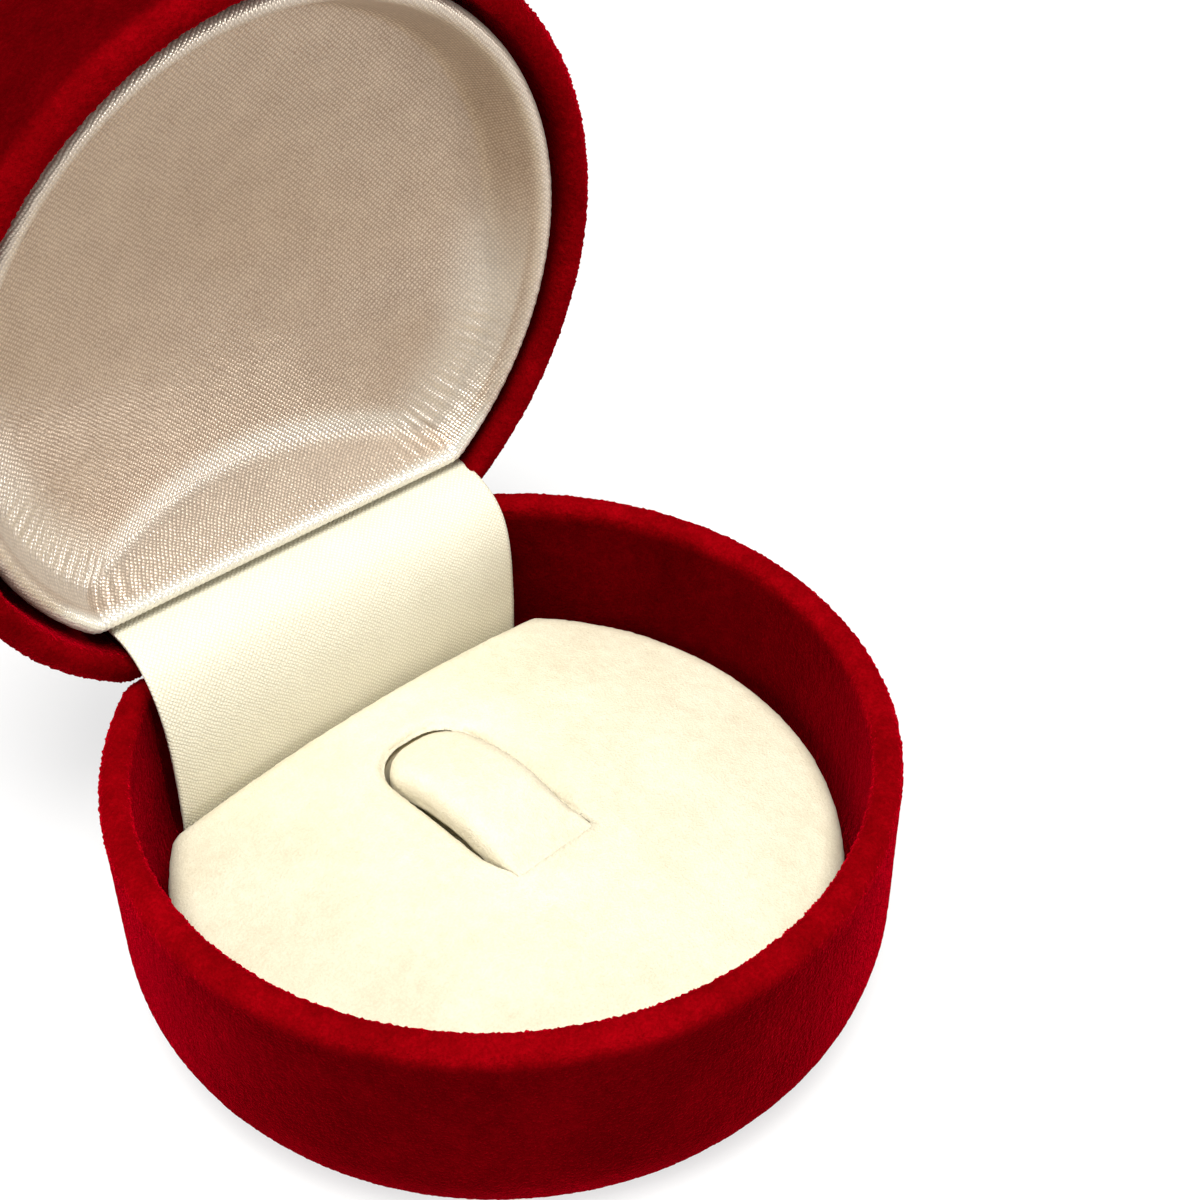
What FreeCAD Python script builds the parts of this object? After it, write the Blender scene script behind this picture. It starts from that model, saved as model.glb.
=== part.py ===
import FreeCAD, Part
import math
import os
from FreeCAD import Vector as V

os.makedirs("parts", exist_ok=True)

# ---------------------------------------------------------------- driving sizes (mm)
# Frame: origin at the centre of the underside, +Z up, +Y towards the hinge.
R_OUT = 27.9          # outer radius of base and lid
CHORD = 22.7          # y of the flat back of both shells
WALL = 2.1            # moulding plus flock
BASE_H = 20.35        # height of the base's lip
BASE_ROUND = 7.9      # rounding between side and underside
LIP_OUT = 1.32        # rounding of a lip, outer side
LIP_IN = 0.74         # rounding of a lip, inner side
RIM_GAP = 0.30        # gap between the lips when shut
LID_H = 17.5          # lid, lip to top
LID_ROUND = 8.2
HINGE_Y = 21.98       # hinge axis, along X
HINGE_Z = 21.16
OPEN_DEG = 86.4       # angle of the lid in the stored, open pose

PAD_R = 24.6          # pad outline, cover included
PAD_CHORD = 17.1
PAD_EDGE_Z = 10.6     # where the dome meets the pad's side
PAD_CROWN_Z = 12.9
COVER = 0.5           # flocked cover
CLEAR = 0.06
BOARD_Z0 = 3.5
BOARD_T = 1.1
BOARD_R = 23.0
TONGUE_W = 7.2
TONGUE_ROOT_Y = -5.6
TONGUE_TIP_Y = 10.8
TONGUE_T = 2.6        # thickness of the flap, cover included
POCKET_Z = 8.2        # floor of the pocket under the flap, room for a ring's shank
SLIT = 0.35
TONGUE_LIFT = 5.0     # degrees the flap stands proud at rest

LINER_R = 25.0        # outline of the lining in the lid
LINER_CHORD = 18.7
LINER_SET_BACK = 1.07 # hem behind the lid's lip
SATIN = 0.4
TRAY_T = 0.8
DISH_SIDE = 4.0       # height of the dish's side wall
DISH_DEPTH = 8.2      # depth of the dish at its middle
CHORD_SLOPE = 35.0    # lean of the dish's wall along the hinge side, degrees

PIN_R = 0.50
KNUCKLE_IN = 0.55
KNUCKLE_OUT = 1.10
LEAF_T = 0.5
LEAF_HALF = 12.5
GUSSET_HALF = 16.2
GUSSET_T = 0.4

S = R_OUT - CHORD     # how far the flat back is set in from the circle
RIM_Z = BASE_H + RIM_GAP
TOP_Z = RIM_Z + LID_H


# ---------------------------------------------------------------- helpers
def arc(p, m, q):
    return Part.Arc(V(p[0], 0, p[1]), V(m[0], 0, m[1]), V(q[0], 0, q[1])).toShape()


def seg(p, q):
    return Part.LineSegment(V(p[0], 0, p[1]), V(q[0], 0, q[1])).toShape()


def quarter(c, r, a0, a1):
    pts = []
    for a in (a0, 0.5 * (a0 + a1), a1):
        t = math.radians(a)
        pts.append((c[0] + r * math.cos(t), c[1] + r * math.sin(t)))
    return arc(*pts)


def turned_d(edges, z0, z1, inset=S, chord_side=True):
    """Solid of a lower-to-upper outline turned about Z, with a flat back that
    follows the same outline, set in by `inset`."""
    first = edges[0].Vertexes[0].Point
    last = edges[-1].Vertexes[-1].Point
    face = Part.Face(Part.Wire([seg((0, z0), (first.x, z0))] + edges
                               + [seg((last.x, z1), (0, z1)), seg((0, z1), (0, z0))]))
    body = face.revolve(V(0, 0, 0), V(0, 0, 1), 360)
    if not chord_side:
        return body
    far = -60.0
    moved = []
    for e in edges:
        c = e.copy()
        c.translate(V(-inset, 0, 0))
        moved.append(c)
    fa, la = first.x - inset, last.x - inset
    w = Part.Wire([seg((far, z0), (fa, z0))] + moved
                  + [seg((la, z1), (far, z1)), seg((far, z1), (far, z0))])
    f = Part.Face(w)
    f.translate(V(0, 40, 0))
    prism = f.extrude(V(0, -80, 0))
    # the section was drawn across X: turn it so that it runs along Y
    prism.rotate(V(0, 0, 0), V(0, 0, 1), 90)
    return body.common(prism)


def box(x0, x1, y0, y1, z0, z1):
    return Part.makeBox(x1 - x0, y1 - y0, z1 - z0, V(x0, y0, z0))


def cyl_x(r, x0, x1, y, z):
    return Part.makeCylinder(r, x1 - x0, V(x0, y, z), V(1, 0, 0))


def d_wire(r, c, z):
    """D outline: circle of radius r with a straight back at y = c."""
    hx = math.sqrt(r * r - c * c)
    a = math.atan2(c, hx)
    p0, p1 = V(hx, c, z), V(-hx, c, z)
    big = Part.Arc(p1, V(0, -r, z), p0).toShape()
    return Part.Wire([big, Part.LineSegment(p0, p1).toShape()])


def d_stack(levels):
    """Solid through D outlines given as (radius, chord, z), lower to upper."""
    return Part.makeLoft([d_wire(*l) for l in levels], True, True)


def d_prism(r, c, z0, z1):
    return d_stack([(r, c, z0), (r, c, z1)])


def opened(s):
    s = s.copy()
    s.rotate(V(0, HINGE_Y, HINGE_Z), V(1, 0, 0), -OPEN_DEG)
    return s


def one(s):
    s = s.removeSplitter()
    if s.ShapeType == "Compound" and len(s.Solids) == 1:
        s = s.Solids[0]
    return s


def save(name, s):
    s = one(s)
    s.exportStep("parts/%s.step" % name)


# ---------------------------------------------------------------- base
br = R_OUT - BASE_ROUND
outer = [quarter((br, BASE_ROUND), BASE_ROUND, -90, 0),
         seg((R_OUT, BASE_ROUND), (R_OUT, BASE_H - LIP_OUT)),
         quarter((R_OUT - LIP_OUT, BASE_H - LIP_OUT), LIP_OUT, 0, 90)]
ri = R_OUT - WALL
rb = BASE_ROUND - WALL
inner = [quarter((br, BASE_ROUND), rb, -90, 0),
         seg((ri, BASE_ROUND), (ri, BASE_H - LIP_IN)),
         quarter((ri + LIP_IN, BASE_H - LIP_IN), LIP_IN, 180, 90)]
shell = turned_d(outer, 0, BASE_H).cut(turned_d(inner, WALL, BASE_H))
# the back is lowered where the hinge knuckles turn
shell = shell.cut(box(-13.2, 13.2, 19.5, 24.5, HINGE_Z - KNUCKLE_OUT - 0.36, BASE_H + 2))
RIVET_R, RIVET_X = 0.75, 9.0
BASE_RIVET_Z = 14.0
for sx in (-1, 1):
    shell = shell.cut(Part.makeCylinder(RIVET_R + 0.05, 1.35, V(sx * RIVET_X, CHORD - WALL - 0.1, BASE_RIVET_Z), V(0, 1, 0)))
save("base_shell", shell)

# ---------------------------------------------------------------- pad
board = d_prism(BOARD_R, 16.6, BOARD_Z0, BOARD_Z0 + BOARD_T)
save("pad_board", board)

foam_r, foam_c = PAD_R - COVER - CLEAR, PAD_CHORD - COVER - CLEAR
foam_z0 = BOARD_Z0 + BOARD_T + 0.1


def dome(r, c, z_edge, z_crown, z0, shoulder):
    """Domed disc with a rounded shoulder and a flat back."""
    rise = z_crown - z_edge
    a = r - shoulder
    rad = (a * a + rise * rise) / (2 * rise)
    top_mid = a * 0.55
    zm = z_crown - rad + math.sqrt(rad * rad - top_mid * top_mid)
    ang = math.asin(a / rad)
    # shoulder from the vertical side to the dome
    ex, ez = a, z_edge
    sh = Part.Arc(V(r, 0, z_edge - shoulder), V(r - shoulder * 0.27, 0, z_edge - shoulder * 0.24), V(ex, 0, ez)).toShape()
    edges = [seg((r, z0), (r, z_edge - shoulder)), sh,
             arc((ex, ez), (top_mid, zm), (0.05, z_crown))]
    first = edges[0].Vertexes[0].Point
    face = Part.Face(Part.Wire([seg((0, z0), (r, z0))] + edges + [seg((0.05, z_crown), (0, z_crown)), seg((0, z_crown), (0, z0))]))
    body = face.revolve(V(0, 0, 0), V(0, 0, 1), 360)
    # flat back, its top edge eased like the shoulder
    e2 = [seg((c, z0), (c, z_edge - shoulder)),
          Part.Arc(V(c, 0, z_edge - shoulder), V(c - shoulder * 0.27, 0, z_edge - shoulder * 0.24 + 0.25),
                   V(c - shoulder, 0, z_edge + 0.45)).toShape(),
          seg((c - shoulder, z_edge + 0.45), (c - shoulder - 3.2, z_crown + 0.3))]
    lx, lz = c - shoulder - 3.2, z_crown + 0.3
    f = Part.Face(Part.Wire([seg((-60, z0), (c, z0))] + e2 + [seg((lx, lz), (-60, lz)), seg((-60, lz), (-60, z0))]))
    f.translate(V(0, 40, 0))
    prism = f.extrude(V(0, -80, 0))
    prism.rotate(V(0, 0, 0), V(0, 0, 1), 90)
    return body.common(prism)


SHOULDER = 1.6
skin_out = dome(PAD_R, PAD_CHORD, PAD_EDGE_Z, PAD_CROWN_Z, foam_z0 + 0.4, SHOULDER)
skin_in = dome(PAD_R - COVER, PAD_CHORD - COVER, PAD_EDGE_Z - COVER, PAD_CROWN_Z - COVER, foam_z0 - 2, SHOULDER)
foam = dome(foam_r, foam_c, PAD_EDGE_Z - COVER - CLEAR, PAD_CROWN_Z - COVER - CLEAR, foam_z0, SHOULDER)


def flap_plan(half, root, tip, z0, z1, rr=None):
    """Flap seen from above: straight sides, rounded free end."""
    rr = half if rr is None else rr
    yc = tip - rr
    k = rr * math.sqrt(0.5)
    pts = [V(-half, root, z0), V(half, root, z0), V(half, yc, z0)]
    e = [Part.LineSegment(pts[0], pts[1]).toShape(), Part.LineSegment(pts[1], pts[2]).toShape(),
         Part.Arc(V(half, yc, z0), V(half - rr + k, yc + k, z0), V(half - rr, tip, z0)).toShape()]
    if half - rr > 1e-6:
        e.append(Part.LineSegment(V(half - rr, tip, z0), V(-(half - rr), tip, z0)).toShape())
    e += [Part.Arc(V(-(half - rr), tip, z0), V(-(half - rr) - k, yc + k, z0), V(-half, yc, z0)).toShape(),
          Part.LineSegment(V(-half, yc, z0), pts[0]).toShape()]
    return Part.Face(Part.Wire(e)).extrude(V(0, 0, z1 - z0))


HALF = TONGUE_W / 2
TIP_R = 3.3
slot = flap_plan(HALF + SLIT, TONGUE_ROOT_Y - 0.12, TONGUE_TIP_Y + SLIT + 0.15, 0, 30, TIP_R + SLIT)
pocket = slot.cut(box(-30, 30, -30, 30, -1, POCKET_Z))
save("pad_foam", foam.cut(pocket))
save("pad_velvet", skin_out.cut(skin_in).cut(slot))

# flap: root and tip eased so that it can bend either way
plan = flap_plan(HALF, TONGUE_ROOT_Y, TONGUE_TIP_Y, 0, 30, TIP_R)
plan_in = flap_plan(HALF - COVER - CLEAR, TONGUE_ROOT_Y, TONGUE_TIP_Y - COVER - CLEAR, 0, 30, TIP_R - COVER - CLEAR)
plan_cut = flap_plan(HALF - COVER, TONGUE_ROOT_Y - 1, TONGUE_TIP_Y - COVER, -1, 31, TIP_R - COVER)
TZ0 = PAD_CROWN_Z - 0.2 - TONGUE_T
relief = Part.Face(Part.makePolygon([V(-20, TONGUE_ROOT_Y - 1, 12.3), V(-20, TONGUE_ROOT_Y, 12.3), V(-20, TONGUE_ROOT_Y + 0.6, 9),
                                     V(-20, TONGUE_ROOT_Y - 1, 9), V(-20, TONGUE_ROOT_Y - 1, 12.3)])).extrude(V(40, 0, 0))
flap_top = dome(PAD_R, PAD_CHORD, PAD_EDGE_Z, PAD_CROWN_Z, TZ0, SHOULDER)
flap_core_top = dome(PAD_R - COVER - CLEAR, PAD_CHORD - COVER - CLEAR, PAD_EDGE_Z - COVER - CLEAR, PAD_CROWN_Z - COVER - CLEAR, TZ0, SHOULDER)
flap_skin_in = dome(PAD_R - COVER, PAD_CHORD - COVER, PAD_EDGE_Z - COVER, PAD_CROWN_Z - COVER, -2, SHOULDER)
t_foam = flap_core_top.common(plan_in).cut(relief)
t_skin = flap_top.common(plan).cut(flap_skin_in.common(plan_cut)).cut(relief)
root_z = PAD_CROWN_Z - 0.15
for n, s in (("tongue_foam", t_foam), ("tongue_velvet", t_skin)):
    s = s.copy()
    s.rotate(V(0, TONGUE_ROOT_Y, root_z), V(1, 0, 0), TONGUE_LIFT)
    save(n, s)

# ---------------------------------------------------------------- lid, drawn shut, then opened
lr = R_OUT - LID_ROUND
lid_out = [quarter((R_OUT - LIP_OUT, RIM_Z + LIP_OUT), LIP_OUT, -90, 0),
           seg((R_OUT, RIM_Z + LIP_OUT), (R_OUT, TOP_Z - LID_ROUND)),
           quarter((lr, TOP_Z - LID_ROUND), LID_ROUND, 0, 90)]
lid_in = [quarter((ri + LIP_IN, RIM_Z + LIP_IN), LIP_IN, 270, 180),
          seg((ri, RIM_Z + LIP_IN), (ri, TOP_Z - LID_ROUND)),
          quarter((lr, TOP_Z - LID_ROUND), LID_ROUND - WALL, 0, 90)]
lid = turned_d(lid_out, RIM_Z, TOP_Z).cut(turned_d(lid_in, RIM_Z, TOP_Z - WALL))
lid = lid.cut(box(-13.2, 13.2, 19.5, 24.5, RIM_Z - 2, HINGE_Z + KNUCKLE_OUT + 0.36))
LID_RIVET_Z = 27.2
for sx in (-1, 1):
    lid = lid.cut(Part.makeCylinder(RIVET_R + 0.05, 1.35, V(sx * RIVET_X, CHORD - WALL - 0.1, LID_RIVET_Z), V(0, 1, 0)))
save("lid_shell", opened(lid))

# lining: card tray, dished, and the satin drawn over it
HEM_Z = RIM_Z + LINER_SET_BACK


TAN = math.tan(math.radians(CHORD_SLOPE))


def turned(points, z_top):
    """Solid of revolution under an outline of (radius, z), lower to upper."""
    e = [seg(points[k], points[k + 1]) for k in range(len(points) - 1)]
    last = points[-1]
    w = [seg((0, points[0][1]), points[0])] + e
    if last[0] > 0.01:
        w.append(seg(last, (0, last[1])))
    w.append(seg((0, last[1]), (0, points[0][1])))
    return Part.Face(Part.Wire(w)).revolve(V(0, 0, 0), V(0, 0, 1), 360)


def chord_wedge(y0, z_bend, z0, z1):
    """Half space y < y0, leaning in above z_bend."""
    pts = [V(-40, -60, z0), V(-40, y0, z0), V(-40, y0, z_bend), V(-40, y0 - TAN * (z1 - z_bend), z1), V(-40, -60, z1), V(-40, -60, z0)]
    return Part.Face(Part.makePolygon(pts)).extrude(V(80, 0, 0))


def bowl(r_side, r_foot, z_lip, d, ease=1.0):
    """Outline of the dish: side wall, eased foot, shallow bottom; d is added to its depth."""
    pts = [(r_side, z_lip), (r_side - 0.15, z_lip + 0.8)]
    zf = HEM_Z + DISH_SIDE + d
    pts += [(r_foot + 0.5, zf - ease), (r_foot, zf - 0.25 * ease), (r_foot - 0.9, zf + 0.05 * ease)]
    deep = DISH_DEPTH - DISH_SIDE - 0.05 * ease
    for k in range(1, 9):
        q = 1 - k / 8.0
        r = (r_foot - 0.9) * q
        pts.append((max(r, 0.0) if k < 8 else 0.0, zf + 0.05 * ease + deep * (1 - q * q)))
    pts[-1] = (0.0, pts[-1][1])
    return pts


g = CLEAR
Z_END = HEM_Z + 14
# tray
tray_out = turned([(LINER_R - 0.5, HEM_Z + 0.6)] + bowl(LINER_R - 0.5, 23.4, HEM_Z + 1.2, TRAY_T + 0.1)[1:], 0).common(
    chord_wedge(LINER_CHORD - 0.5, HEM_Z + 1.6, HEM_Z - 2, Z_END))
tray_in = turned([(LINER_R - 0.5 - TRAY_T, HEM_Z + 0.5)] + bowl(LINER_R - 0.5 - TRAY_T, 22.6, HEM_Z + 0.9, 0.1)[1:], 0).common(
    chord_wedge(LINER_CHORD - 0.5 - TRAY_T, HEM_Z + 0.8, HEM_Z - 2, Z_END))
save("liner_board", opened(tray_out.cut(tray_in)))

# satin: lining of the dish and the hem rolled round the tray's edge
skin_back = turned([(LINER_R - 0.5 - TRAY_T - g, HEM_Z + 0.54)] + bowl(LINER_R - 0.5 - TRAY_T - g, 22.6 - g, HEM_Z + 0.9, 0.1 - g)[1:], 0).common(
    chord_wedge(LINER_CHORD - 0.5 - TRAY_T - g, HEM_Z + 0.8, HEM_Z - 2, Z_END))
skin_face = turned([(LINER_R - 1.05, HEM_Z - 0.1), (LINER_R - 1.45, HEM_Z + 0.35)] + bowl(LINER_R - 0.5 - TRAY_T - g - SATIN - 0.1, 22.6 - g - SATIN, HEM_Z + 0.9, 0.1 - g - SATIN)[1:], 0).common(
    chord_wedge(LINER_CHORD - 0.5 - TRAY_T - g - SATIN - 0.1, HEM_Z + 0.6, HEM_Z - 2, Z_END))


def dish(points):
    return d_stack([(LINER_R - i, LINER_CHORD - i, z) for i, z in points])


s_out = dish([(0.55, HEM_Z), (0.15, HEM_Z + 0.3), (0.0, HEM_Z + 0.8), (0.0, HEM_Z + 3.0)])
hem_hole = dish([(0.5 - g, HEM_Z + 0.6 - g), (0.5 - g, HEM_Z + 3.2)])
satin = s_out.cut(hem_hole).fuse(skin_back).cut(skin_face)
save("liner_satin", opened(satin))

# ---------------------------------------------------------------- steel snap hinge behind the linings
LEAF_Y1 = CHORD - WALL - 0.08
LEAF_Y0 = LEAF_Y1 - LEAF_T
base_k = [(-12.5, -7.6), (7.6, 12.5), (-2.4, 2.4)]
lid_k = [(-7.45, -2.55), (2.55, 7.45)]


def knuckles(spans, web):
    out = None
    for a, b in spans:
        k = cyl_x(KNUCKLE_OUT, a, b, HINGE_Y, HINGE_Z).fuse(box(a, b, LEAF_Y0, HINGE_Y - 0.7, web[0], web[1]))
        out = k if out is None else out.fuse(k)
    return out


bleaf = box(-LEAF_HALF, LEAF_HALF, LEAF_Y0, LEAF_Y1, 9.0, HINGE_Z - 0.86).fuse(knuckles(base_k, (HINGE_Z - 1.05, HINGE_Z - 0.5)))
lleaf = box(-LEAF_HALF, LEAF_HALF, LEAF_Y0, LEAF_Y1, HINGE_Z + 0.86, 30.2).fuse(knuckles(lid_k, (HINGE_Z + 0.5, HINGE_Z + 1.05)))
bleaf = bleaf.cut(cyl_x(KNUCKLE_IN, -20, 20, HINGE_Y, HINGE_Z))
lleaf = lleaf.cut(cyl_x(KNUCKLE_IN, -20, 20, HINGE_Y, HINGE_Z))
b_riv, l_riv = [], []
for sx in (-1, 1):
    for leaf_z, lst in ((BASE_RIVET_Z, b_riv), (LID_RIVET_Z, l_riv)):
        shank = Part.makeCylinder(RIVET_R, LEAF_T + 1.2, V(sx * RIVET_X, LEAF_Y0 - 0.02, leaf_z), V(0, 1, 0))
        head = Part.makeCylinder(1.4, 0.45, V(sx * RIVET_X, LEAF_Y0 - 0.47, leaf_z), V(0, 1, 0))
        lst.append(shank.fuse(head))
    bleaf = bleaf.cut(Part.makeCylinder(RIVET_R + 0.05, 3, V(sx * RIVET_X, LEAF_Y0 - 1, BASE_RIVET_Z), V(0, 1, 0)))
    lleaf = lleaf.cut(Part.makeCylinder(RIVET_R + 0.05, 3, V(sx * RIVET_X, LEAF_Y0 - 1, LID_RIVET_Z), V(0, 1, 0)))
save("hinge_base_leaf", bleaf)
save("hinge_lid_leaf", opened(lleaf))
save("base_rivets", Part.makeCompound(b_riv))
save("lid_rivets", opened(Part.makeCompound(l_riv)))
save("hinge_pin", cyl_x(PIN_R, -12.9, 12.9, HINGE_Y, HINGE_Z))

# bowed snap spring standing in front of the base leaf
sy = LEAF_Y0 - 0.08
p0, pm, p1 = V(-4, sy, 9.4), V(-4, sy - 1.15, 14.4), V(-4, sy, 19.4)
q0, qm, q1 = V(-4, sy - 0.3, 9.4), V(-4, sy - 1.45, 14.4), V(-4, sy - 0.3, 19.4)
spring = Part.Face(Part.Wire([Part.Arc(p0, pm, p1).toShape(), Part.LineSegment(p1, q1).toShape(),
                              Part.Arc(q1, qm, q0).toShape(), Part.LineSegment(q0, p0).toShape()])).extrude(V(8, 0, 0))
save("hinge_spring", spring)

# ---------------------------------------------------------------- gusset: card-stiff satin over the hinge
mid = [(17.75, 6.0), (17.55, 9.0), (17.45, 12.0), (17.45, 15.0), (17.55, 17.6), (17.85, 19.6), (18.40, 21.2),
       (19.20, 22.45), (20.30, 23.35), (21.60, 23.85), (23.00, 24.03), (25.40, 24.20)]


def offset(pts, d):
    out = []
    for i, (y, z) in enumerate(pts):
        a = pts[max(0, i - 1)]
        b = pts[min(len(pts) - 1, i + 1)]
        ty, tz = b[0] - a[0], b[1] - a[1]
        l = math.hypot(ty, tz)
        out.append((y - tz / l * d, z + ty / l * d))
    return out


def spline(pts, x):
    c = Part.BSplineCurve()
    c.interpolate([V(x, y, z) for y, z in pts])
    return c.toShape()


f0, f1 = offset(mid, GUSSET_T / 2), offset(mid, -GUSSET_T / 2)
x0 = -GUSSET_HALF
w = Part.Wire([spline(f0, x0), Part.LineSegment(V(x0, *f0[-1]), V(x0, *f1[-1])).toShape(),
               spline(f1, x0), Part.LineSegment(V(x0, *f1[0]), V(x0, *f0[0])).toShape()])
save("gusset_satin", Part.Face(w).extrude(V(2 * GUSSET_HALF, 0, 0)))
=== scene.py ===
import bpy
import math
import numpy as np
from mathutils import Vector, Matrix, geometry


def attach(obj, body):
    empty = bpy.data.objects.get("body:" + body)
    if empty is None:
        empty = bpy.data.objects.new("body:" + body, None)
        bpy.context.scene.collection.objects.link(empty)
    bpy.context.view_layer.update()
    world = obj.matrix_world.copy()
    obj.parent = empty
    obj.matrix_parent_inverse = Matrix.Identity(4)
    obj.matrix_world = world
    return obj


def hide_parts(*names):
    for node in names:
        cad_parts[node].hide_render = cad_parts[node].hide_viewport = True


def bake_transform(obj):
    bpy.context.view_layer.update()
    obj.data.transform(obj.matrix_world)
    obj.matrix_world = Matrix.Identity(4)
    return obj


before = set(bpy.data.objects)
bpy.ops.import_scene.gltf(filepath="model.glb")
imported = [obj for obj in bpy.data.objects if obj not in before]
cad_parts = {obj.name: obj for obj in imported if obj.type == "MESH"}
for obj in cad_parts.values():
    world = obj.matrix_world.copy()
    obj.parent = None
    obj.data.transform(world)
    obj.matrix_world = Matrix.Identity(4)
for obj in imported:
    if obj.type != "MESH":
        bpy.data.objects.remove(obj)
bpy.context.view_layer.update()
rng = np.random.default_rng(7)

# ------------------------------------------------------------------ sizes, in millimetres
R, CH, WALL = 27.9, 22.7, 2.1
BASE_H, BASE_ROUND = 20.35, 7.9
RIM_Z = 20.65
LID_H, LID_ROUND = 17.5, 8.2
TOP_Z = RIM_Z + LID_H
HY, HZ, OPEN = 21.98, 21.16, math.radians(86.4)
PAD_R, PAD_CH = 24.6, 17.1
LIN_R, LIN_CH = 25.0, 18.7
HEM_Z = RIM_Z + 1.07


# ------------------------------------------------------------------ small tools
def lid_open(P):
    """Points of the shut lid, turned to the open pose."""
    P = np.asarray(P, float)
    a, b = P[:, 1] - HY, P[:, 2] - HZ
    c, s = math.cos(OPEN), math.sin(OPEN)
    return np.c_[P[:, 0], HY + a * c + b * s, HZ - a * s + b * c]


_lat = np.random.default_rng(11).random((4096,))


def vnoise(P, scale, seed=0):
    """Smooth value noise, 0..1, cell size `scale` in mm."""
    q = np.asarray(P, float) / scale + 1000.0
    i = np.floor(q).astype(np.int64)
    f = q - i
    f = f * f * (3 - 2 * f)
    out = 0
    for dx in (0, 1):
        for dy in (0, 1):
            for dz in (0, 1):
                h = ((i[:, 0] + dx) * 73856093 ^ (i[:, 1] + dy) * 19349663 ^ (i[:, 2] + dz) * 83492791 ^ (seed * 2654435)) & 4095
                w = (f[:, 0] if dx else 1 - f[:, 0]) * (f[:, 1] if dy else 1 - f[:, 1]) * (f[:, 2] if dz else 1 - f[:, 2])
                out = out + w * _lat[h]
    return out


def sstep(a, b, x):
    t = np.clip((np.asarray(x, float) - a) / (b - a), 0, 1)
    return t * t * (3 - 2 * t)


def d_curve(r, c, cr, n_arc, n_cor, n_line):
    """Closed outline: circle of radius r with a straight back at y = c and
    rounded corners cr. Starts at the left corner and runs round the front."""
    cr = min(cr, 0.45 * (r - abs(c)) + 0.02)
    cy = c - cr
    cx = math.sqrt(max((r - cr) ** 2 - cy * cy, 1e-6))
    ph = math.atan2(cy, cx)
    out = []
    for t in np.linspace(math.pi - ph, 2 * math.pi + ph, n_arc, endpoint=False):
        out.append((r * math.cos(t), r * math.sin(t)))
    for t in np.linspace(ph, math.pi / 2, n_cor, endpoint=False):
        out.append((cx + cr * math.cos(t), cy + cr * math.sin(t)))
    for x in np.linspace(cx, -cx, n_line, endpoint=False):
        out.append((x, c))
    for t in np.linspace(math.pi / 2, math.pi - ph, n_cor, endpoint=False):
        out.append((-cx + cr * math.cos(t), cy + cr * math.sin(t)))
    return np.array(out)


def d_stack(r, c, cr, rows, counts, close_first=True, close_last=True):
    """Quads over rows of (inset, z). Returns vertices and faces."""
    V, F = [], []
    for ins, z in rows:
        o = d_curve(r - ins, c - ins, max(cr - ins, 0.35), *counts)
        V.append(np.c_[o, np.full(len(o), z)])
    n = len(V[0])
    for k in range(len(rows) - 1):
        for j in range(n):
            a, b = k * n + j, k * n + (j + 1) % n
            F.append((a, b, b + n, a + n))
    P = np.vstack(V)
    if close_first:
        P = np.vstack([P, P[:n].mean(0)[None]])
        m = len(P) - 1
        F += [(m, (j + 1) % n, j) for j in range(n)]
    if close_last:
        P = np.vstack([P, P[(len(rows) - 1) * n:len(rows) * n].mean(0)[None]])
        m = len(P) - 1
        o = (len(rows) - 1) * n
        F += [(m, o + j, o + (j + 1) % n) for j in range(n)]
    return P, F


def arc_rows(cx, cz, r, a0, a1, n, R0, end=True):
    """Rows along an arc given in (radius, z); the inset is counted from R0."""
    out = []
    for t in np.linspace(math.radians(a0), math.radians(a1), n, endpoint=end):
        out.append((R0 - (cx + r * math.cos(t)), cz + r * math.sin(t)))
    return out


def make(name, P, F, mats, uv=None, smooth=True, flip=False):
    me = bpy.data.meshes.new(name)
    if flip:
        F = [tuple(reversed(f)) for f in F]
    me.from_pydata((np.asarray(P) / 1000.0).tolist(), [], F)
    me.update()
    o = bpy.data.objects.new(name, me)
    bpy.context.scene.collection.objects.link(o)
    for m in (mats if isinstance(mats, (list, tuple)) else [mats]):
        me.materials.append(m)
    if smooth:
        me.polygons.foreach_set("use_smooth", [True] * len(me.polygons))
    if uv is not None:
        layer = me.uv_layers.new(name="cloth")
        vi = np.empty(len(me.loops), dtype=np.int32)
        me.loops.foreach_get("vertex_index", vi)
        layer.data.foreach_set("uv", np.asarray(uv, np.float32)[vi].ravel())
    return o


def normals(P, F):
    P = np.asarray(P, float)
    N = np.zeros_like(P)
    tri = np.array([(f[0], f[1], f[2]) for f in F] + [(f[0], f[2], f[3]) for f in F if len(f) == 4])
    fn = np.cross(P[tri[:, 1]] - P[tri[:, 0]], P[tri[:, 2]] - P[tri[:, 0]])
    for k in range(3):
        np.add.at(N, tri[:, k], fn)
    return N / np.maximum(np.linalg.norm(N, axis=1), 1e-12)[:, None]


# ------------------------------------------------------------------ materials
def new_mat(name):
    m = bpy.data.materials.new(name)
    m.use_nodes = True
    nt = m.node_tree
    nt.nodes.clear()
    out = nt.nodes.new("ShaderNodeOutputMaterial")
    b = nt.nodes.new("ShaderNodeBsdfPrincipled")
    nt.links.new(b.outputs[0], out.inputs[0])
    return m, nt, b


def coords(nt, kind="Object"):
    t = nt.nodes.new("ShaderNodeTexCoord")
    return t.outputs[kind]


def noise(nt, vec, scale, detail=2.0, rough=0.5):
    n = nt.nodes.new("ShaderNodeTexNoise")
    n.inputs["Scale"].default_value = scale
    n.inputs["Detail"].default_value = detail
    n.inputs["Roughness"].default_value = rough
    nt.links.new(vec, n.inputs["Vector"])
    return n.outputs["Fac"]


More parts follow.
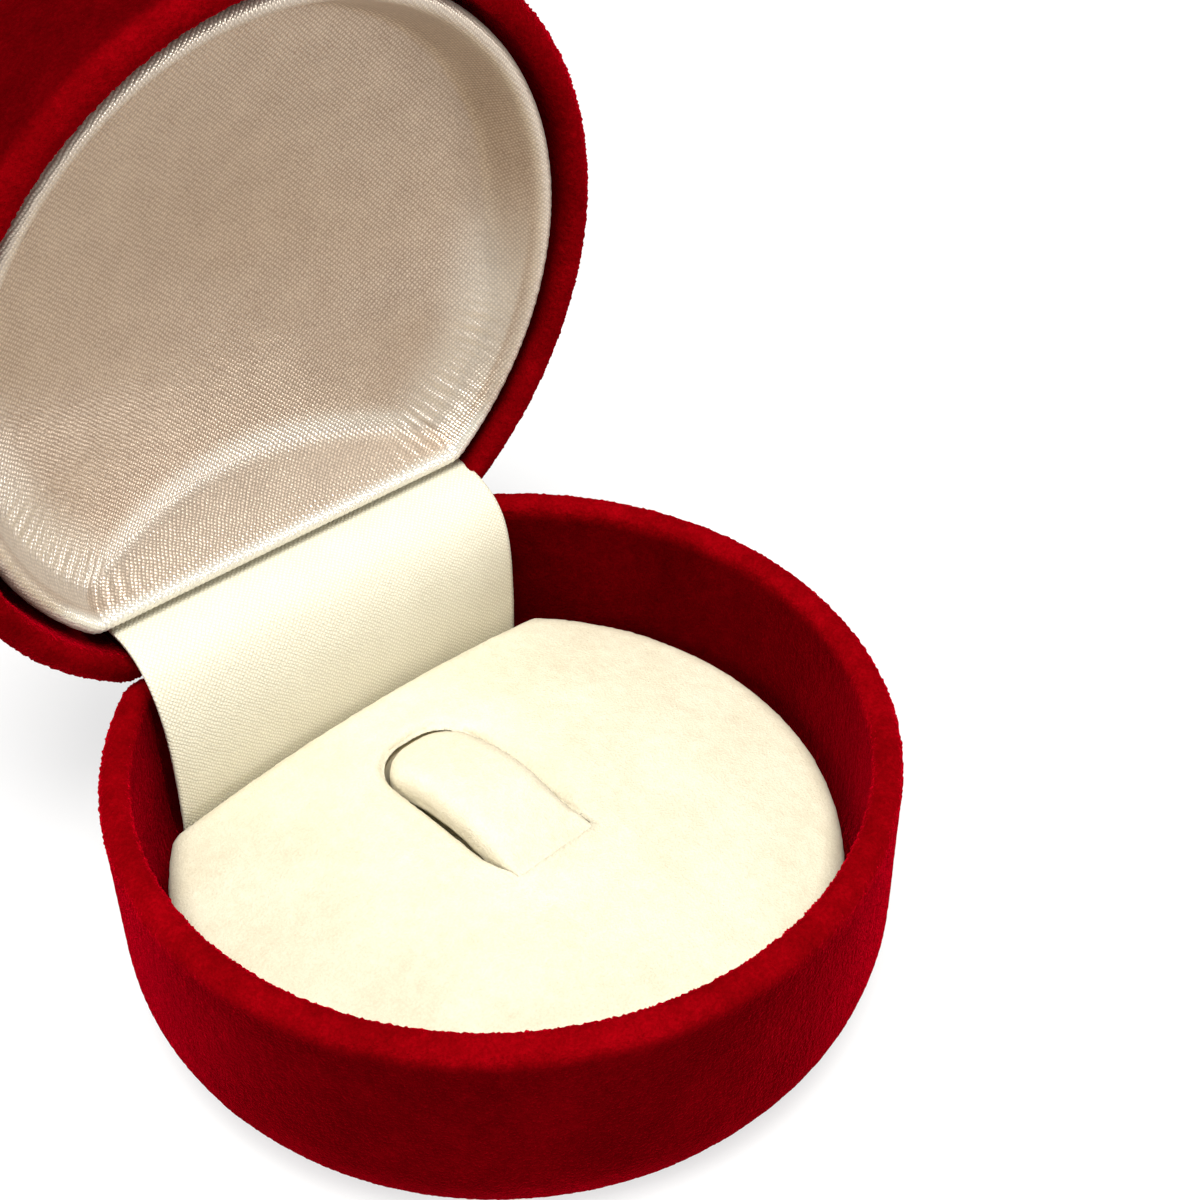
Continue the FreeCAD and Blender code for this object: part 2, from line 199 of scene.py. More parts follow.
def ramp(nt, fac, stops):
    r = nt.nodes.new("ShaderNodeValToRGB")
    e = r.color_ramp.elements
    while len(e) < len(stops):
        e.new(0.5)
    for k, (p, c) in enumerate(stops):
        e[k].position = p
        e[k].color = (*c, 1)
    nt.links.new(fac, r.inputs[0])
    return r.outputs[0]


def math_node(nt, op, a, b=None):
    n = nt.nodes.new("ShaderNodeMath")
    n.operation = op
    for i, v in enumerate((a, b)):
        if v is None:
            continue
        if isinstance(v, (int, float)):
            n.inputs[i].default_value = v
        else:
            nt.links.new(v, n.inputs[i])
    return n.outputs[0]


def bump(nt, b, height, dist, strength=1.0):
    n = nt.nodes.new("ShaderNodeBump")
    n.inputs["Distance"].default_value = dist
    n.inputs["Strength"].default_value = strength
    nt.links.new(height, n.inputs["Height"])
    nt.links.new(n.outputs[0], b.inputs["Normal"])


def masked(nt, col, other, attr):
    """Blend to another colour where the mesh's own mask says so."""
    a = nt.nodes.new("ShaderNodeAttribute")
    a.attribute_name = attr
    m = nt.nodes.new("ShaderNodeMix")
    m.data_type = "RGBA"
    nt.links.new(a.outputs["Fac"], m.inputs[0])
    nt.links.new(col, m.inputs[6])
    nt.links.new(other, m.inputs[7])
    return m.outputs[2]


def set_mask(o, name, w):
    a = o.data.attributes.new(name, "FLOAT", "POINT")
    a.data.foreach_set("value", np.asarray(w, np.float32))


def velvet(name, dark, mid, light, sheen, sheen_tint, sheen_rough=0.3, spec=0.0, fibre=4200, patch_w=0.40, depth=0.00015, lip_highlight_gain=None):
    m, nt, b = new_mat(name)
    o = coords(nt)
    patch = noise(nt, o, 150, 3, 0.6)           # brushed patches, about 6 mm
    tuft = noise(nt, o, 900, 2, 0.6)            # tufts, about 1 mm
    grain = noise(nt, o, fibre, 2, 0.75)        # single fibres, about 0.2 mm
    f = math_node(nt, "ADD", math_node(nt, "MULTIPLY", patch, patch_w),
                  math_node(nt, "ADD", math_node(nt, "MULTIPLY", tuft, 0.22), math_node(nt, "MULTIPLY", grain, 0.78 - patch_w)))
    col = ramp(nt, f, [(0.34, dark), (0.50, mid), (0.66, light)])
    if lip_highlight_gain is not None:                        # painted highlight: lighter colour on the lip, where the top light falls
        lip_lit_cols = [tuple(lip_highlight_gain * c for c in t) for t in (dark, mid, light)]
        col = masked(nt, col, ramp(nt, f, [(0.34, lip_lit_cols[0]), (0.50, lip_lit_cols[1]), (0.66, lip_lit_cols[2])]), "lip")
    nt.links.new(col, b.inputs["Base Color"])
    b.inputs["Roughness"].default_value = 1.0
    b.inputs["Specular IOR Level"].default_value = spec
    b.inputs["Sheen Weight"].default_value = sheen
    b.inputs["Sheen Roughness"].default_value = sheen_rough
    b.inputs["Sheen Tint"].default_value = (*sheen_tint, 1)
    h = math_node(nt, "ADD", grain, math_node(nt, "MULTIPLY", tuft, 0.5))
    bump(nt, b, h, depth, 0.9)
    return m


def satin(name, light, shade, rough=0.34, spec=0.4, pitch=0.27, dots=0.36, hem=None, gloss=0.0, relief=0.000022):
    m, nt, b = new_mat(name)
    uv = coords(nt, "UV")
    sep = nt.nodes.new("ShaderNodeSeparateXYZ")
    nt.links.new(uv, sep.inputs[0])
    # woven lattice: UV is in millimetres; the yarns wander a little
    wob = noise(nt, uv, 0.9, 2, 0.5)
    du = math_node(nt, "MULTIPLY", math_node(nt, "ADD", sep.outputs[0], sep.outputs[1]), 0.7071)
    dv = math_node(nt, "MULTIPLY", math_node(nt, "SUBTRACT", sep.outputs[0], sep.outputs[1]), 0.7071)
    wu = math_node(nt, "ADD", du, math_node(nt, "MULTIPLY", wob, 0.35))
    wv = math_node(nt, "ADD", dv, math_node(nt, "MULTIPLY", wob, -0.30))
    k = math.pi / pitch
    sx = math_node(nt, "ABSOLUTE", math_node(nt, "SINE", math_node(nt, "MULTIPLY", wu, k)))
    sy = math_node(nt, "ABSOLUTE", math_node(nt, "SINE", math_node(nt, "MULTIPLY", wv, k * 0.92)))
    cell = math_node(nt, "MULTIPLY", sx, sy)                      # 0 on the lattice, 1 on a yarn
    dot = math_node(nt, "POWER", cell, 2.2)
    slub = noise(nt, uv, 0.30, 3, 0.6)
    fleck = noise(nt, uv, 3.4, 2, 0.7)
    f = math_node(nt, "ADD", math_node(nt, "MULTIPLY", dot, dots),
                  math_node(nt, "ADD", math_node(nt, "MULTIPLY", slub, 0.20), math_node(nt, "MULTIPLY", fleck, 0.80 - dots)))
    col = ramp(nt, f, [(0.15, shade), (0.70, light)])
    # painted highlight: where the 'hem' mask is set, the colour blends to a paler one
    if hem is not None:
        col = masked(nt, col, ramp(nt, f, [(0.15, tuple(0.8 * c for c in hem)), (0.70, hem)]), "hem")
    nt.links.new(col, b.inputs["Base Color"])
    b.inputs["Roughness"].default_value = rough
    b.inputs["Specular IOR Level"].default_value = spec
    b.inputs["Metallic"].default_value = gloss      # share of the yarn that mirrors in its own colour
    b.inputs["Sheen Weight"].default_value = 0.10
    b.inputs["Sheen Roughness"].default_value = 0.35
    bump(nt, b, math_node(nt, "ADD", cell, math_node(nt, "MULTIPLY", fleck, 0.5)), relief, 1.0)
    return m


def metal(name, col, rough, scale=900):
    m, nt, b = new_mat(name)
    o = coords(nt)
    n = noise(nt, o, scale, 3, 0.6)
    big = noise(nt, o, 120, 2, 0.5)
    nt.links.new(ramp(nt, big, [(0.3, tuple(0.82 * c for c in col)), (0.7, col)]), b.inputs["Base Color"])
    b.inputs["Metallic"].default_value = 1.0
    r = math_node(nt, "ADD", math_node(nt, "MULTIPLY", n, 0.22), rough - 0.11)
    nt.links.new(r, b.inputs["Roughness"])
    bump(nt, b, n, 0.00002, 0.4)
    return m


def card(name, col):
    m, nt, b = new_mat(name)
    o = coords(nt)
    n = noise(nt, o, 1800, 4, 0.6)
    nt.links.new(ramp(nt, n, [(0.3, tuple(0.8 * c for c in col)), (0.7, col)]), b.inputs["Base Color"])
    b.inputs["Roughness"].default_value = 0.9
    bump(nt, b, n, 0.00003, 0.6)
    return m


# the lip gain of 2.6 lightens the velvet on the lip: a painted highlight
M_RED = velvet("velvet_red", (0.042, 0.0001, 0.0004), (0.068, 0.0001, 0.0007), (0.108, 0.0002, 0.0013), 0.55, (1.0, 0.0, 0.02), 0.28, lip_highlight_gain=2.6)
M_IVORY = velvet("flock_ivory", (0.63, 0.57, 0.42), (0.71, 0.655, 0.50), (0.79, 0.74, 0.59), 0.06, (1, 0.97, 0.9), 0.5, 0.1, 5200, 0.34, 0.0001)
# the hem colour is the paler colour of the painted highlight on the hem bead and the crease band
M_SATIN = satin("satin_ivory", (0.685, 0.555, 0.425), (0.265, 0.180, 0.125), 0.33, 0.7, hem=(0.95, 0.92, 0.82), gloss=0.46, relief=0.000026)
M_GUSSET = satin("satin_gusset", (0.90, 0.865, 0.715), (0.64, 0.595, 0.455), 0.45, 0.3, 0.26, 0.50, relief=0.00004)
M_STEEL = metal("steel_plated", (0.62, 0.62, 0.61), 0.32)
M_BLUE = metal("spring_steel", (0.22, 0.23, 0.28), 0.28)
M_CARD = card("card_grey", (0.42, 0.38, 0.33))
M_FOAM = card("foam_white", (0.84, 0.82, 0.77))

# ------------------------------------------------------------------ base and lid: moulded shells, flocked inside and out
FINE = 0.42
ROUND = 0.19          # spacing round the outline, about one tuft of flock
N_ARC = int(150 / ROUND)
N_COR = max(6, int(3.2 / ROUND))
N_LINE = int(27 / (1.4 * ROUND))
CNT = (N_ARC, N_COR, N_LINE)
CR = 2.6


def shell_rows(h, rnd, lip_o=1.25, lip_i=0.80):
    st = FINE
    rows = [(20, 0), (15, 0), (11, 0), (rnd + 0.6, 0)]
    rows += arc_rows(R - rnd, rnd, rnd, -90, 0, int(rnd * 1.57 / st), R, end=False)
    for z in np.linspace(rnd, h - lip_o, int((h - lip_o - rnd) / st), endpoint=False):
        rows.append((0, z))
    n_o, n_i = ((12, 9))
    rows += arc_rows(R - lip_o, h - lip_o, lip_o, 0, 90, n_o, R, end=True)
    rows += arc_rows(R - WALL + lip_i, h - lip_i, lip_i, 90, 180, n_i, R, end=True)[1 if abs(lip_o + lip_i - WALL) < 1e-6 else 0:]
    zi = rnd
    for z in np.linspace(h - lip_i, zi, int((h - lip_i - zi) / st))[1:]:
        rows.append((WALL, z))
    rows += arc_rows(R - rnd, rnd, rnd - WALL, 0, -90, 8, R, end=True)[1:]
    rows += [(12, WALL), (16, WALL), (20, WALL)]
    return rows


def notch(P, x0, x1, zcap):
    """Lower the back wall to zcap for |x| < x0, running out at x1."""
    back = sstep(18.6, 19.8, P[:, 1])
    k = 1 - sstep(x0, x1, np.abs(P[:, 0]))
    lim = zcap + (1 - k * back) * 8
    return np.minimum(P[:, 2], lim)


def flock(P, F, amp=0.055, sway=0.04, keep=None, fine=0.03):
    N = normals(P, F)
    r = rng.random(len(P)) ** 1.3
    d = amp * (r - 0.35) + sway * (vnoise(P, 3.1, 1) - 0.5) + fine * (vnoise(P, 0.9, 2) - 0.5)
    if keep is not None:
        d = d * keep
    return P + N * d[:, None]


rows = shell_rows(BASE_H, BASE_ROUND)
P, F = d_stack(R, CH, CR, rows, CNT)
P[:, 2] = notch(P, 13.1, 13.6, HZ - 1.1 - 0.36)
LIP_FUZZ = 0.17
P = flock(P, F, keep=sstep(0.0, 0.6, P[:, 2]) * 1.0)
N = normals(P, F)                            # shorter where the two lips meet
P = P + N * (LIP_FUZZ * (1 - 0.75 * N[:, 2] ** 2) * rng.random(len(P)) ** 2.6 * sstep(BASE_H - 1.6, BASE_H - 0.7, P[:, 2]))[:, None]
P[:, 2] = np.minimum(P[:, 2], BASE_H + 0.12)
# painted highlight: mask that lightens the top-lit lip of the base
lip_highlight_mask = sstep(BASE_H - 1.9, BASE_H - 0.5, P[:, 2])
base_o = make("base_velvet", P, F, M_RED)
set_mask(base_o, "lip", lip_highlight_mask)
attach(base_o, "base"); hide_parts("base_shell")

rows = shell_rows(LID_H, LID_ROUND)
P, F = d_stack(R, CH, CR, rows, CNT)
P[:, 2] = LID_H - (LID_H - P[:, 2])
Z = P[:, 2].copy()
P[:, 2] = LID_H - 0 - Z                     # lip at 0, crown at LID_H
cap = HZ + 1.1 + 0.36 - RIM_Z
back = sstep(18.6, 19.8, P[:, 1]); k = 1 - sstep(13.1, 13.6, np.abs(P[:, 0]))
P[:, 2] = np.maximum(P[:, 2], cap - (1 - k * back) * 8)
P[:, 2] += RIM_Z
F = [tuple(reversed(f)) for f in F]
P = flock(P, F)
N = normals(P, F)
P = P + N * (LIP_FUZZ * (1 - 0.75 * N[:, 2] ** 2) * rng.random(len(P)) ** 2.6 * (1 - sstep(RIM_Z + 0.7, RIM_Z + 1.6, P[:, 2])))[:, None]
P[:, 2] = np.maximum(P[:, 2], RIM_Z - 0.12)
# painted highlight: mask that lightens the lip of the lid
lip_highlight_mask = 1 - sstep(RIM_Z + 0.5, RIM_Z + 1.9, P[:, 2])
lid_o = make("lid_velvet", lid_open(P), F, M_RED)
set_mask(lid_o, "lip", lip_highlight_mask * 0.7)
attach(lid_o, "lid"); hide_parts("lid_shell")


# ------------------------------------------------------------------ pad and flap
ROOT, TIP, HALF, TIPR, CX = -5.6, 10.8, 3.55, 3.0, -0.15
GAP = 0.38
CROWN, EDGE, SHO = 12.9, 10.6, 1.7


def dome(x, y):
    a = PAD_R - SHO
    rise = CROWN - EDGE
    rad = (a * a + rise * rise) / (2 * rise)
    r2 = np.minimum(x * x + y * y, (a + 1.5) ** 2)
    return CROWN - rad + np.sqrt(rad * rad - r2)


def flap_outline(half, root, tip, rr, step, root_close=False):
    """Points from the left root, round the tip, to the right root."""
    yc = tip - rr
    out = [(-half, y) for y in np.arange(root, yc, step)]
    n = max(5, int(rr * 1.57 / step))
    out += [(-(half - rr) - rr * math.cos(t), yc + rr * math.sin(t)) for t in np.linspace(0, math.pi / 2, n, endpoint=False)]
    w = half - rr
    out += [(x, tip) for x in np.linspace(-w, w, max(2, int(2 * w / step) + 1), endpoint=False)] if w > 0.02 else []
    out += [(w + rr * math.sin(t), yc + rr * math.cos(t)) for t in np.linspace(0, math.pi / 2, n, endpoint=False)]
    out += [(half, y) for y in np.arange(yc, root - 1e-9, -step)]
    return np.array(out)


def dist_poly(Q, L, closed=False):
    """Distance of points Q to the polyline L."""
    A, B = L[:-1], L[1:]
    if closed:
        A, B = L, np.roll(L, -1, axis=0)
    best = np.full(len(Q), 1e9)
    for a, b in zip(A, B):
        ab = b - a
        t = np.clip(((Q - a) @ ab) / max(ab @ ab, 1e-12), 0, 1)
        d = np.hypot(*(Q - a - t[:, None] * ab).T)
        best = np.minimum(best, d)
    return best


def inside(Q, L):
    x, y = Q[:, 0], Q[:, 1]
    c = np.zeros(len(Q), bool)
    for (x0, y0), (x1, y1) in zip(L, np.roll(L, -1, axis=0)):
        if y0 == y1:
            continue
        t = (y0 > y) != (y1 > y)
        c ^= t & (x < (x1 - x0) * (y - y0) / (y1 - y0) + x0)
    return c


STEP = 0.42


def triangulate(outer, holes, interior):
    pts = [Vector(p) for p in outer]
    loops = [list(range(len(outer)))]
    for h in holes:
        loops.append(list(range(len(pts), len(pts) + len(h))))
        pts += [Vector(p) for p in h]
    edges = [(l[i], l[(i + 1) % len(l)]) for l in loops for i in range(len(l))]
    pts += [Vector(p) for p in interior]
    v, e, f, ov, oe, of_ = geometry.delaunay_2d_cdt(pts, edges, [], 0, 1e-5)
    V = np.array([(p.x, p.y) for p in v])
    ids = {}
    for k, src in enumerate(ov):
        for q in src:
            ids[q] = k
    cen = np.array([V[list(t)].mean(0) for t in f])
    ok = inside(cen, np.array(outer))
    for h in holes:
        ok &= ~inside(cen, np.array(h))
    faces = [tuple(t) for t, g in zip(f, ok) if g]
    fixed = []
    for t in faces:
        a, b, c = (V[i] for i in t[:3])
        fixed.append(t if (b[0] - a[0]) * (c[1] - a[1]) - (b[1] - a[1]) * (c[0] - a[0]) > 0 else tuple(reversed(t)))
    return V, fixed, [[ids[i] for i in l] for l in loops]


def hexgrid(x0, x1, y0, y1, s):
    out = []
    for r_, y in enumerate(np.arange(y0, y1, s * 0.866)):
        xs = np.arange(x0 + (s / 2 if r_ % 2 else 0), x1, s)
        out.append(np.c_[xs, np.full(len(xs), y)])
    G = np.vstack(out)
    return G + (rng.random(G.shape) - 0.5) * s * 0.35


def lift(s):
    """How far the flap stands above the dome, s mm from its root."""
    return 1.5 * np.sin(np.pi * np.clip(s / 15.5, 0, 1)) ** 1.3


def skirt(P, F, loop, drops, inward=None, flip=False):
    """Walls from a boundary loop: each drop is (down, sideways)."""
    n = len(loop)
    base = P[loop]
    prev = list(loop)
    for d, w in drops:
        q = base.copy()
        q[:, 2] -= d
        if inward is not None:
            q[:, :2] += inward * w
        start = len(P)
        P = np.vstack([P, q])
        cur = list(range(start, start + n))
        for j in range(n):
            a, b, c, e = prev[j], prev[(j + 1) % n], cur[(j + 1) % n], cur[j]
            F.append((a, e, c, b) if not flip else (a, b, c, e))
        prev = cur
    return P, F, prev


def loop_normals(L):
    t = np.roll(L, -1, axis=0) - np.roll(L, 1, axis=0)
    t /= np.maximum(np.linalg.norm(t, axis=1), 1e-9)[:, None]
    return np.c_[t[:, 1], -t[:, 0]]


def pad_surface(inset, step):
    """Pad with its U-shaped slot; inset 0 is the cover, more is the foam."""
    r, c = PAD_R - inset, PAD_CH - inset
    cnt = (int(130 / step), 5, int(33 / step))
    outer = d_curve(r, c, 1.6, *cnt)
    # slot: slit edge on three sides, root across
    so = flap_outline(HALF + GAP + inset, ROOT, TIP + GAP + inset, TIPR + GAP, step)
    taper = 1 - sstep(ROOT, ROOT + 3.5, so[:, 1])
    so[:, 0] = np.sign(so[:, 0]) * (np.abs(so[:, 0]) - GAP * 0.9 * taper) + CX
    xs = np.linspace(so[-1, 0], so[0, 0], int(2 * HALF / step) + 1)[1:-1]
    slot = np.vstack([so, np.c_[xs, np.full(len(xs), ROOT)]])
    slot = slot[::-1]
    rings = []
    for d in (0.1, 0.25, 0.45, 0.75):
        g = flap_outline(HALF + GAP + inset + d, ROOT - 0.0, TIP + GAP + inset + d, TIPR + GAP + d, step)
        g[:, 0] += CX
        rings.append(g)
    for i in (0.12, 0.35, 0.7, 1.1, 1.6):
        rings.append(d_curve(r - i, c - i, max(1.6 - i, 0.4), *cnt))
    G = hexgrid(-25, 25, -25, 18, step)
    keep = inside(G, outer) & (dist_poly(G, outer[::3], True) > 1.8) & ~(inside(G, slot)) & (dist_poly(G, so[::2]) > 0.95) & ((np.abs(G[:, 0] - CX) > HALF) | (np.abs(G[:, 1] - ROOT) > step * 0.7))
    V, F2, loops = triangulate(outer, [slot], np.vstack(rings + [G[keep]]))
    z = dome(V[:, 0], V[:, 1]) - inset
    # shoulder round the outline
    d = dist_poly(V, outer, True)
    sh = np.clip(SHO - d, 0, SHO)
    z -= SHO - np.sqrt(np.maximum(SHO ** 2 - sh ** 2, 0))
    # slit edge rolled in, running out at the root
    so2 = so.copy()
    ds = dist_poly(V, so2)
    rr = 0.80 * sstep(ROOT, ROOT + 3.5, V[:, 1]) + 1e-3
    e = np.clip(rr - ds, 0, rr)
    z -= rr - np.sqrt(np.maximum(rr ** 2 - e ** 2, 0))
    # the foam gives a little beside the slit
    z -= 0.35 * np.exp(-(ds / 1.6) ** 2) * sstep(ROOT + 1, ROOT + 5, V[:, 1]) * (1 - sstep(TIP - 4, TIP + 1, V[:, 1]))
    P3 = np.c_[V, z]
    return P3, F2, loops, outer, slot


def build_pad(name, inset, step, mat, z_bottom, wall_to):
    P3, F3, loops, outer, slot = pad_surface(inset, step)
    # outer side
    nO = -loop_normals(P3[loops[0]][:, :2])
    zt = P3[loops[0]][:, 2]
    for kk, zz in enumerate(np.linspace(0, 1, 9)[1:]):
        start = len(P3)
        q = P3[loops[0]].copy()
        q[:, 2] = zt + (z_bottom - zt) * zz
        P3 = np.vstack([P3, q])
        prev = loops[0] if kk == 0 else cur
        cur = list(range(start, start + len(q)))
        n = len(q)
        for j in range(n):
            F3.append((prev[j], cur[j], cur[(j + 1) % n], prev[(j + 1) % n]))
    m = len(P3)
    P3 = np.vstack([P3, [[0, -3, z_bottom]]])
    F3 += [(m, cur[(j + 1) % n], cur[j]) for j in range(n)]
    # slot walls and pocket floor
    zt = P3[loops[1]][:, 2]
    for kk, zz in enumerate(np.linspace(0, 1, 7)[1:]):
        start = len(P3)
        q = P3[loops[1]].copy()
        q[:, 2] = zt + (wall_to - zt) * zz
        P3 = np.vstack([P3, q])
        prev = loops[1] if kk == 0 else cur
        cur = list(range(start, start + len(q)))
        n = len(q)
        for j in range(n):
            F3.append((prev[j], cur[j], cur[(j + 1) % n], prev[(j + 1) % n]))
    m = len(P3)
    P3 = np.vstack([P3, [[CX, 2.5, wall_to]]])
    F3 += [(m, cur[j], cur[(j + 1) % n]) for j in range(n)]
    return P3, F3


P, F = build_pad("pad_cover", 0.0, STEP, M_IVORY, 5.1, 8.6)
N = normals(P, F)
if N[np.argmax(P[:, 2])][2] < 0:
    F = [tuple(reversed(f)) for f in F]
P = flock(P, F, amp=0.05, sway=0.05)
pad_o = make("pad_flock", P, F, M_IVORY)
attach(pad_o, "base"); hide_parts("pad_velvet", "pad_foam")

# flap: a bowed strip with soft edges, running on under the pad in front of its root
T_FLAP = 2.5
BACK = 2.6
of_ = flap_outline(HALF, ROOT - BACK, TIP, TIPR, STEP * 0.8)
of_[:, 0] += CX
xs = np.linspace(of_[-1, 0], of_[0, 0], int(2 * HALF / STEP) + 1)[1:-1]
ol = np.vstack([of_, np.c_[xs, np.full(len(xs), ROOT - BACK)]])[::-1]
rings = []
for d in (0.08, 0.2, 0.38, 0.6, 0.9):
    g = flap_outline(HALF - d, ROOT - BACK + 0.3, TIP - d, TIPR - d, STEP * 0.8)
    g[:, 0] += CX
    rings.append(g)
G = hexgrid(-4, 4, -9, 12, STEP * 0.8)
G = G[inside(G, ol) & (dist_poly(G, ol, True) > 1.1)]
V, F2, loops = triangulate(ol, [], np.vstack(rings + [G]))
s_ = V[:, 1] - ROOT
z = dome(V[:, 0], V[:, 1]) + np.where(s_ > 0, lift(np.maximum(s_, 0)), 0)
z -= 0.075 * (1 - sstep(-0.45, 0.35, s_))                 # tucked just under the pad in front of the root
de = dist_poly(V, of_)
rr = 1.30 * sstep(-0.5, 4.0, s_) + 1e-3
e = np.clip(rr - de, 0, rr)
z -= rr - np.sqrt(np.maximum(rr ** 2 - e ** 2, 0))
P = np.c_[V, z]
F = list(F2)
top_ref = dome(V[:, 0], V[:, 1]) + np.where(s_ > 0, lift(np.maximum(s_, 0)), 0)
L = loops[0]
bot = top_ref[L] - T_FLAP
zt = P[L][:, 2]
for kk, q_ in enumerate(np.linspace(0, 1, 7)[1:]):
    start = len(P)
    q = P[L].copy()
    q[:, 2] = zt + (bot - zt) * q_
    P = np.vstack([P, q])
    prev = L if kk == 0 else cur
    cur = list(range(start, start + len(q)))
    n = len(q)
    for j in range(n):
        F.append((prev[j], cur[j], cur[(j + 1) % n], prev[(j + 1) % n]))
# underside: the same plan, lower
under = len(P)
keep_under = {i: under + k for k, i in enumerate(range(len(V)))}
PU = np.c_[V, top_ref - T_FLAP]
lmap = {i: c for i, c in zip(L, cur)}
P = np.vstack([P, PU])
for f in F2:
    F.append(tuple(reversed([lmap.get(i, keep_under[i]) for i in f])))
N = normals(P, F)
if N[np.argmax(P[:, 2])][2] < 0:
    F = [tuple(reversed(f)) for f in F]
P = flock(P, F, amp=0.05, sway=0.03, keep=sstep(-0.6, 0.6, P[:, 1] - ROOT))
flap_o = make("ring_flap_flock", P, F, M_IVORY)
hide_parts("tongue_velvet", "tongue_foam")
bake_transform(flap_o)

# ------------------------------------------------------------------ lid lining: satin drawn over a dished tray
TW = math.radians(3.3)
L_ARC, L_COR, L_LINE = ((330, 14, 250))


def smin(a, b, k):
    h = np.clip(0.5 + 0.5 * (b - a) / k, 0, 1)
    return b * (1 - h) + a * h - k * h * (1 - h)


def dish(x, y):
    """Depth of the lining below its hem: a turned bowl with a steep side,
    cut across by the leaning wall along the hinge."""
    r = np.hypot(x, y)
    side = 0.75 + (23.45 - r) * 2.55
    bottom = 9.0 - 4.6 * (r / 22.0) ** 1.5
    d = smin(side, bottom, 1.1)
    # the cloth starts to climb a little before it meets the wall
    climb = 6.3 + (14.2 - r) * 0.48 + 3.0 * sstep(8.0, -4.0, y)
    wall = 0.75 + (17.15 - y) / 0.50
    return smin(smin(d, climb, 1.6), wall, 0.8)


def hem_wave(x, y):
    """Fine cross pleats of the hem, strongest along the straight side."""
    t = np.arctan2(y, x)
    on = sstep(15.5, 17.0, y)
    a = 0.035 * np.sin(x * 13.0 + 1.3 * np.sin(x * 0.9)) * on
    b = 0.030 * np.sin(t * 150 + 2.2 * np.sin(t * 17)) * (1 - on) * sstep(-26, 8, y)
    return a + b


hem = [(1.15, 3.2), (0.9, 2.6), (0.55, 2.0), (0.12, 1.4), (0.0, 0.85), (0.05, 0.55), (0.18, 0.28), (0.40, 0.09), (0.66, 0.0),
       (0.95, 0.03), (1.22, 0.16), (1.42, 0.40), (1.55, 0.75)]
ins = [1.55 + v for v in np.r_[np.linspace(0, 2.4, 16)[1:], np.linspace(2.4, 13.0, 34)[1:]]]
rows = [(a, HEM_Z + b) for a, b in hem] + [(a, 0.0) for a in ins]
P, F = d_stack(LIN_R, LIN_CH, 2.2, rows, (L_ARC, L_COR, L_LINE), close_first=False, close_last=False)
n_ = len(d_curve(LIN_R, LIN_CH, 2.2, L_ARC, L_COR, L_LINE))
n_h = len(hem) * n_
# the rows inside the hem shrink towards the middle
end = P[-n_:, :2].copy()
more = []
for q in np.linspace(1, 0.04, 22)[1:]:
    more.append(np.c_[end * q + (1 - q) * np.array([[0, -1.5]]), np.zeros(n_)])
R0 = len(rows)
P = np.vstack([P] + more)
for k in range(len(more)):
    a0 = (R0 - 1 + k) * n_
    F += [(a0 + j, a0 + (j + 1) % n_, a0 + n_ + (j + 1) % n_, a0 + n_ + j) for j in range(n_)]
P = np.vstack([P, [[0, -1.5, 0]]])
last = (R0 - 1 + len(more)) * n_
F += [(len(P) - 1, last + j, last + (j + 1) % n_) for j in range(n_)]
dd = dish(P[n_h:, 0], P[n_h:, 1])
P[n_h:, 2] = HEM_Z + np.maximum(dd, 0.75)
face_dish = P.copy()
P[:, 2] -= hem_wave(P[:, 0], P[:, 1]) * np.r_[sstep(2.6, 0.3, 0) * np.ones(n_h), np.exp(-np.maximum(dd - 0.75, 0) / 1.0)]
# fine pleats running down the side wall beside the hinge
th_ = np.arctan2(P[:, 1], np.abs(P[:, 0]))
rr_ = np.hypot(P[:, 0], P[:, 1])
on_ = sstep(math.radians(-5), math.radians(25), th_) * sstep(19.5, 21.6, rr_) * (1 - sstep(23.6, 24.2, rr_)) * np.r_[np.zeros(n_h), np.ones(len(P) - n_h)]
P[:, 2] += 0.075 * on_ * np.sin(th_ * 150 + 1.5 * np.sin(th_ * 23))
P[:, 2] += 0.10 * (vnoise(P, 5.0, 31) - 0.5) * np.r_[np.zeros(n_h), np.ones(len(P) - n_h)]
# cloth coordinates: distance along the cloth from the middle
rad = np.hypot(P[:, 0], P[:, 1] + 1.5)
G3 = P[:-1].reshape(-1, n_, 3)
step3 = np.linalg.norm(np.diff(G3, axis=0), axis=2)
S3 = np.zeros(G3.shape[:2])
S3[:-1] = np.cumsum(step3[::-1], axis=0)[::-1]
S3 += rad[:-1].reshape(-1, n_)[-1]
u_ = np.c_[P[:, 0], P[:, 1] + 1.5] / np.maximum(rad, 1e-6)[:, None]
UVc = u_ * np.r_[S3.ravel(), 0.0][:, None]
c, s = math.cos(TW), math.sin(TW)


def twist(P):
    return np.c_[P[:, 0] * c - P[:, 1] * s, P[:, 0] * s + P[:, 1] * c, P[:, 2]]


P = twist(P)
F = [tuple(reversed(f)) for f in F]
liner_o = make("liner_satin_cloth", lid_open(P), F, M_SATIN, uv=UVc)
# painted highlight: the hem bead is paler, most along the straight side
hem_highlight_rows = np.r_[[0, 0, 0.2, 0.5, 1, 1, 1, 1, 1, 1, 0.9, 0.6, 0.25], np.zeros(len(P) // n_ - len(hem))]
along = 0.22 + 0.78 * sstep(13.5, 16.5, face_dish[:, 1])
